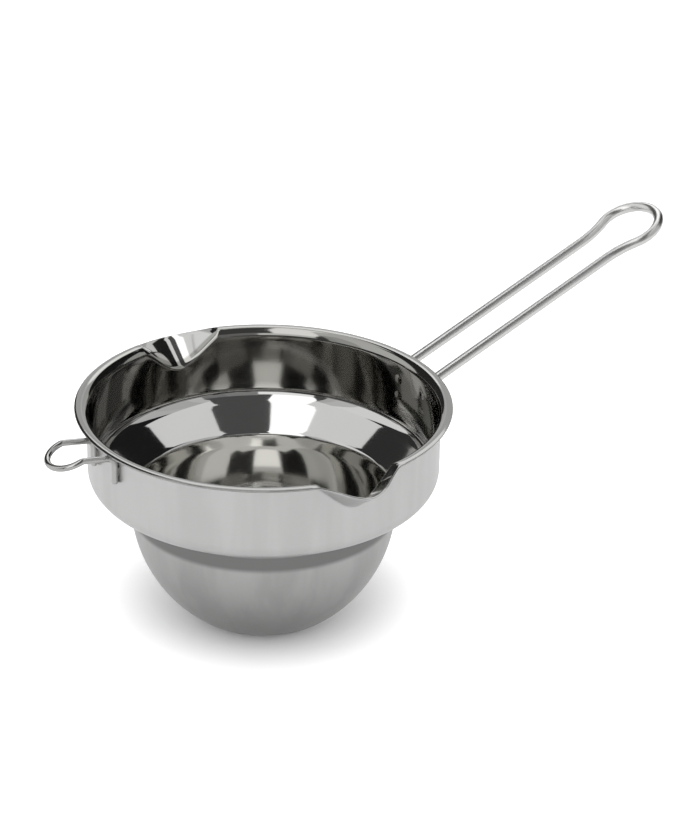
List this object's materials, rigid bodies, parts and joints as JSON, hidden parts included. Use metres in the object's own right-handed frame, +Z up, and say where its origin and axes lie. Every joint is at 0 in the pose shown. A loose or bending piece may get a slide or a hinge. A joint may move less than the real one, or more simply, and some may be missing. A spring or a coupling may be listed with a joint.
{
  "type": "double boiler",
  "caption": "Two-tier stainless steel melting bowl with pouring lips, a long rising wire handle and a short wire hook, made to hang in a saucepan.",
  "frame": {"origin": "centre of the bowl's flat bottom, where it stands", "axes": "+Z up along the bowl's axis, +X out along the long handle, the pouring lips on +Y and -Y, the hook on -X"},
  "size_m": [0.3421, 0.199, 0.1676],
  "materials": {
    "bowl_steel": "mirror polished inside, satin outside",
    "handle_wire_steel": "polished stainless wire",
    "hook_wire_steel": "polished stainless wire",
    "weld_metal": "cleaned spot weld"
  },
  "bodies": {
    "root": {"bowl": "bowl_steel", "long_handle": "handle_wire_steel", "helper_hook": "hook_wire_steel", "handle_welds": "weld_metal", "hook_welds": "weld_metal"}
  },
  "joints": []
}
